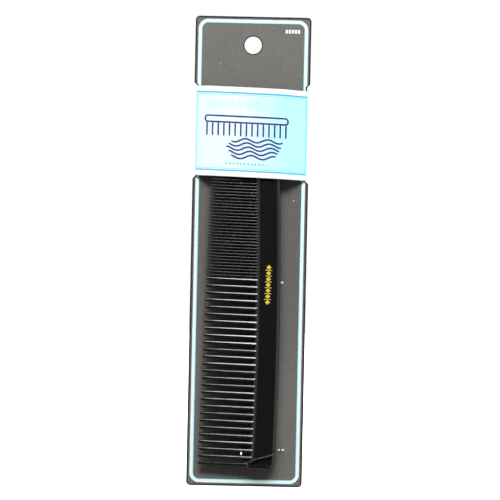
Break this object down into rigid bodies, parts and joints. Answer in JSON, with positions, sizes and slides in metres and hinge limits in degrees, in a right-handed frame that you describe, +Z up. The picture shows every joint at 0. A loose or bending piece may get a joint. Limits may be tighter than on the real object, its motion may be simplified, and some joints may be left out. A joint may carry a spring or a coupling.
{
  "type": "carded hair comb",
  "caption": "Dressing comb with coarse and fine teeth, held on a hanging display card by a folded paper sleeve and a nylon tie, and drawn out downwards.",
  "frame": {"origin": "centre of the card's round hang hole, in the middle of the card's thickness", "axes": "+X across the card to the right seen from the front, +Y out of the back of the card, +Z up"},
  "size_m": [0.055, 0.0077, 0.223],
  "materials": {
    "card_board": "matt printed paperboard",
    "sleeve_paper": "smooth coated paper, printed",
    "glue": "dried hot-melt glue",
    "comb_plastic": "polished black moulding",
    "gold_foil": "stamped metallic foil",
    "tie_nylon": "clear nylon"
  },
  "bodies": {
    "pack": {"backing_card": "card_board", "sleeve_left_slope": "sleeve_paper", "sleeve_tooth_cover": "sleeve_paper", "sleeve_crown": "sleeve_paper", "sleeve_right_slope": "sleeve_paper", "sleeve_back_right": "sleeve_paper", "sleeve_back_left": "sleeve_paper", "sleeve_glue": "glue", "tie_filament": "tie_nylon", "tie_bars": "tie_nylon"},
    "comb": {"comb_spine": "comb_plastic", "coarse_teeth": "comb_plastic", "fine_teeth": "comb_plastic", "coarse_end_tooth": "comb_plastic", "fine_end_tooth": "comb_plastic", "foil_mark": "gold_foil"}
  },
  "joints": [
    {"name": "comb_slide", "type": "slide", "parent": "pack", "child": "comb", "axis": [0, 0, -1], "range_m": [0, 0.044], "deforming": ["tie_filament"]}
  ]
}
